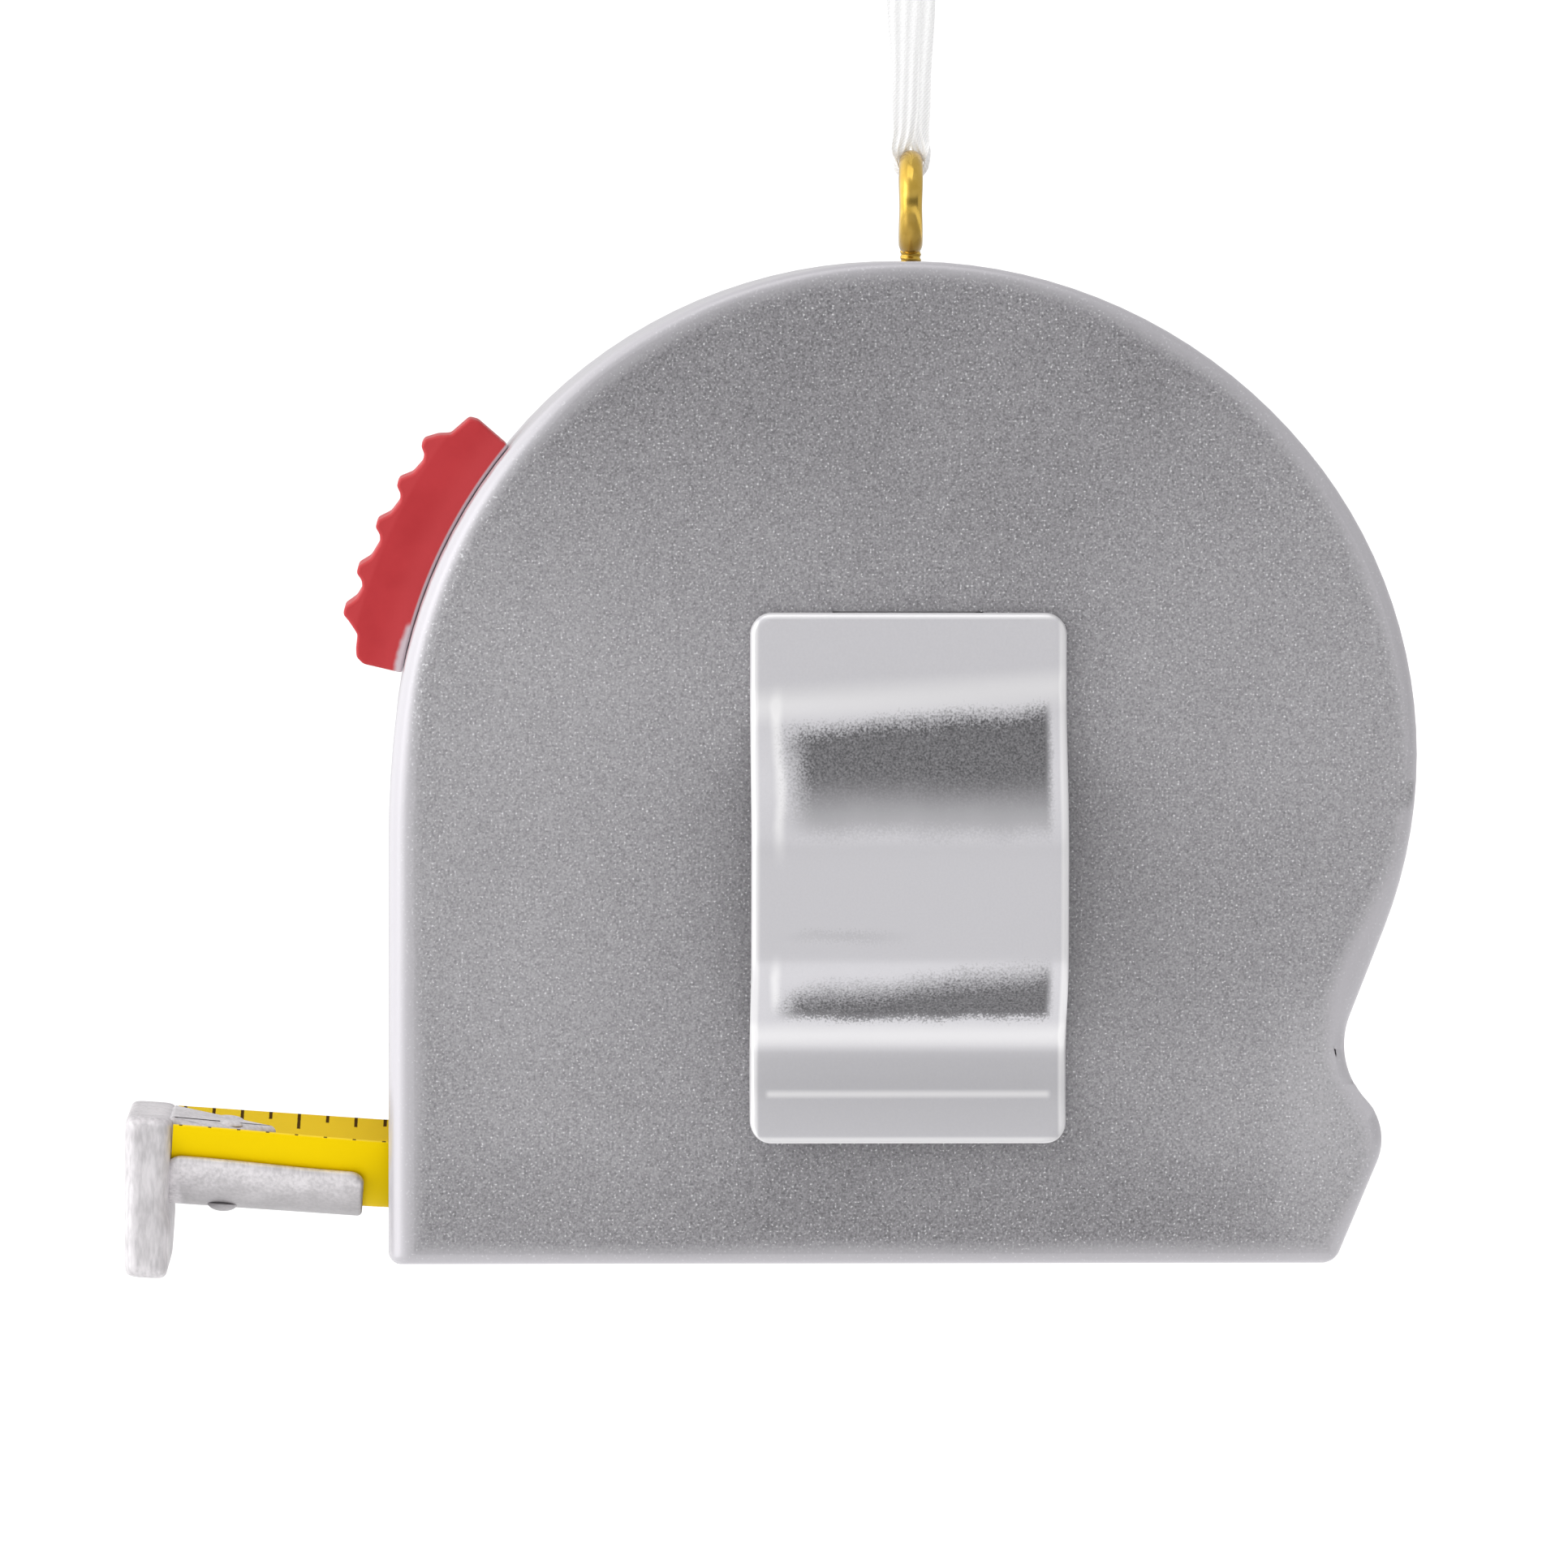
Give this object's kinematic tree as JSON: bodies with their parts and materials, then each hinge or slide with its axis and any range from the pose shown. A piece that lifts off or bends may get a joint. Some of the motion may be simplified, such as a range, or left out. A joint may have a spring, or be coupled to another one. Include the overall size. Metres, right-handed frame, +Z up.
{
  "type": "pocket tape measure",
  "caption": "Small silver pocket tape measure with a red lock button, belt clip, yellow crowned blade and end hook, hung by a gold screw eye on a sheer ribbon.",
  "frame": {"origin": "crook of the hanging loop, where a hook or peg holds it, straight above the screw eye", "axes": "+X from the end hook to the back of the case, +Y from the belt clip side to the badge side, +Z up"},
  "size_m": [0.0799, 0.0291, 0.0962],
  "materials": {
    "case_paint": "silver metallic paint, fine sparkle, satin",
    "badge_paint": "smooth silver paint, satin",
    "clip_plate": "bright plated steel, soft mirror",
    "bright_steel": "zinc plated steel, satin",
    "spring_steel": "blued spring steel",
    "gold_plate": "polished brass plate",
    "black_rubber": "matt",
    "black_plastic": "moulded, matt",
    "blade_yellow": "yellow coated steel, satin",
    "brushed_hook": "brushed steel with worn edges",
    "button_red": "moulded, semi gloss",
    "ribbon_white": "sheer woven organza"
  },
  "bodies": {
    "hanger": {"ribbon": "ribbon_white", "ribbon_knot": "ribbon_white"},
    "case": {"case_front": "case_paint", "case_rear": "case_paint", "case_screws": "bright_steel", "screw_eye": "gold_plate", "rear_badge": "badge_paint", "mouth_bumper": "black_rubber", "blade_guide": "black_plastic", "arbor": "bright_steel", "arbor_screw": "bright_steel", "reel_washers": "bright_steel", "power_spring": "spring_steel", "brake_pin": "bright_steel", "lock_spring": "spring_steel"},
    "clip": {"belt_clip": "clip_plate"},
    "reel": {"reel_drum": "black_plastic", "reel_cover": "black_plastic", "blade_coil": "blade_yellow"},
    "tape": {"blade": "blade_yellow", "hook_rivets": "brushed_hook"},
    "hook": {"end_hook": "brushed_hook"},
    "button": {"lock_button": "button_red", "lock_slide": "black_plastic"},
    "brake": {"brake_lever": "bright_steel", "brake_pad": "black_rubber"}
  },
  "joints": [
    {"name": "case_swing", "type": "hinge", "parent": "hanger", "child": "case", "pos_m": [0, 0, -0.0214], "axis": [0, 1, 0], "range_deg": [-25, 25]},
    {"name": "blade_slide", "type": "slide", "parent": "case", "child": "tape", "axis": [-1, 0, 0], "range_m": [-0.0132, 0.036]},
    {"name": "reel_spin", "type": "hinge", "parent": "case", "child": "reel", "pos_m": [-0.00105, 0, -0.058], "axis": [0, 1, 0], "range_deg": [-34, 92]},
    {"name": "hook_float", "type": "slide", "parent": "tape", "child": "hook", "axis": [-0.9976, 0, 0.0698], "range_m": [0, 0.0029]},
    {"name": "lock_travel", "type": "hinge", "parent": "case", "child": "button", "pos_m": [-0.0007, 0, -0.0593], "axis": [0, 1, 0], "range_deg": [0, 7]},
    {"name": "brake_pivot", "type": "hinge", "parent": "case", "child": "brake", "pos_m": [-0.01556, 0, -0.0803], "axis": [0, 1, 0], "range_deg": [0, 5.1]},
    {"name": "clip_flex", "type": "hinge", "parent": "case", "child": "clip", "pos_m": [-0.00067, -0.01255, -0.0492], "axis": [-1, 0, 0], "range_deg": [0, 4], "stiffness_Nm_per_rad": 0.15, "springref_deg": -5.73}
  ],
  "couplings": [
    {"joint": "reel_spin", "follows": "blade_slide", "rad_per_m": 44.444},
    {"joint": "brake_pivot", "follows": "lock_travel", "ratio": 0.714}
  ]
}
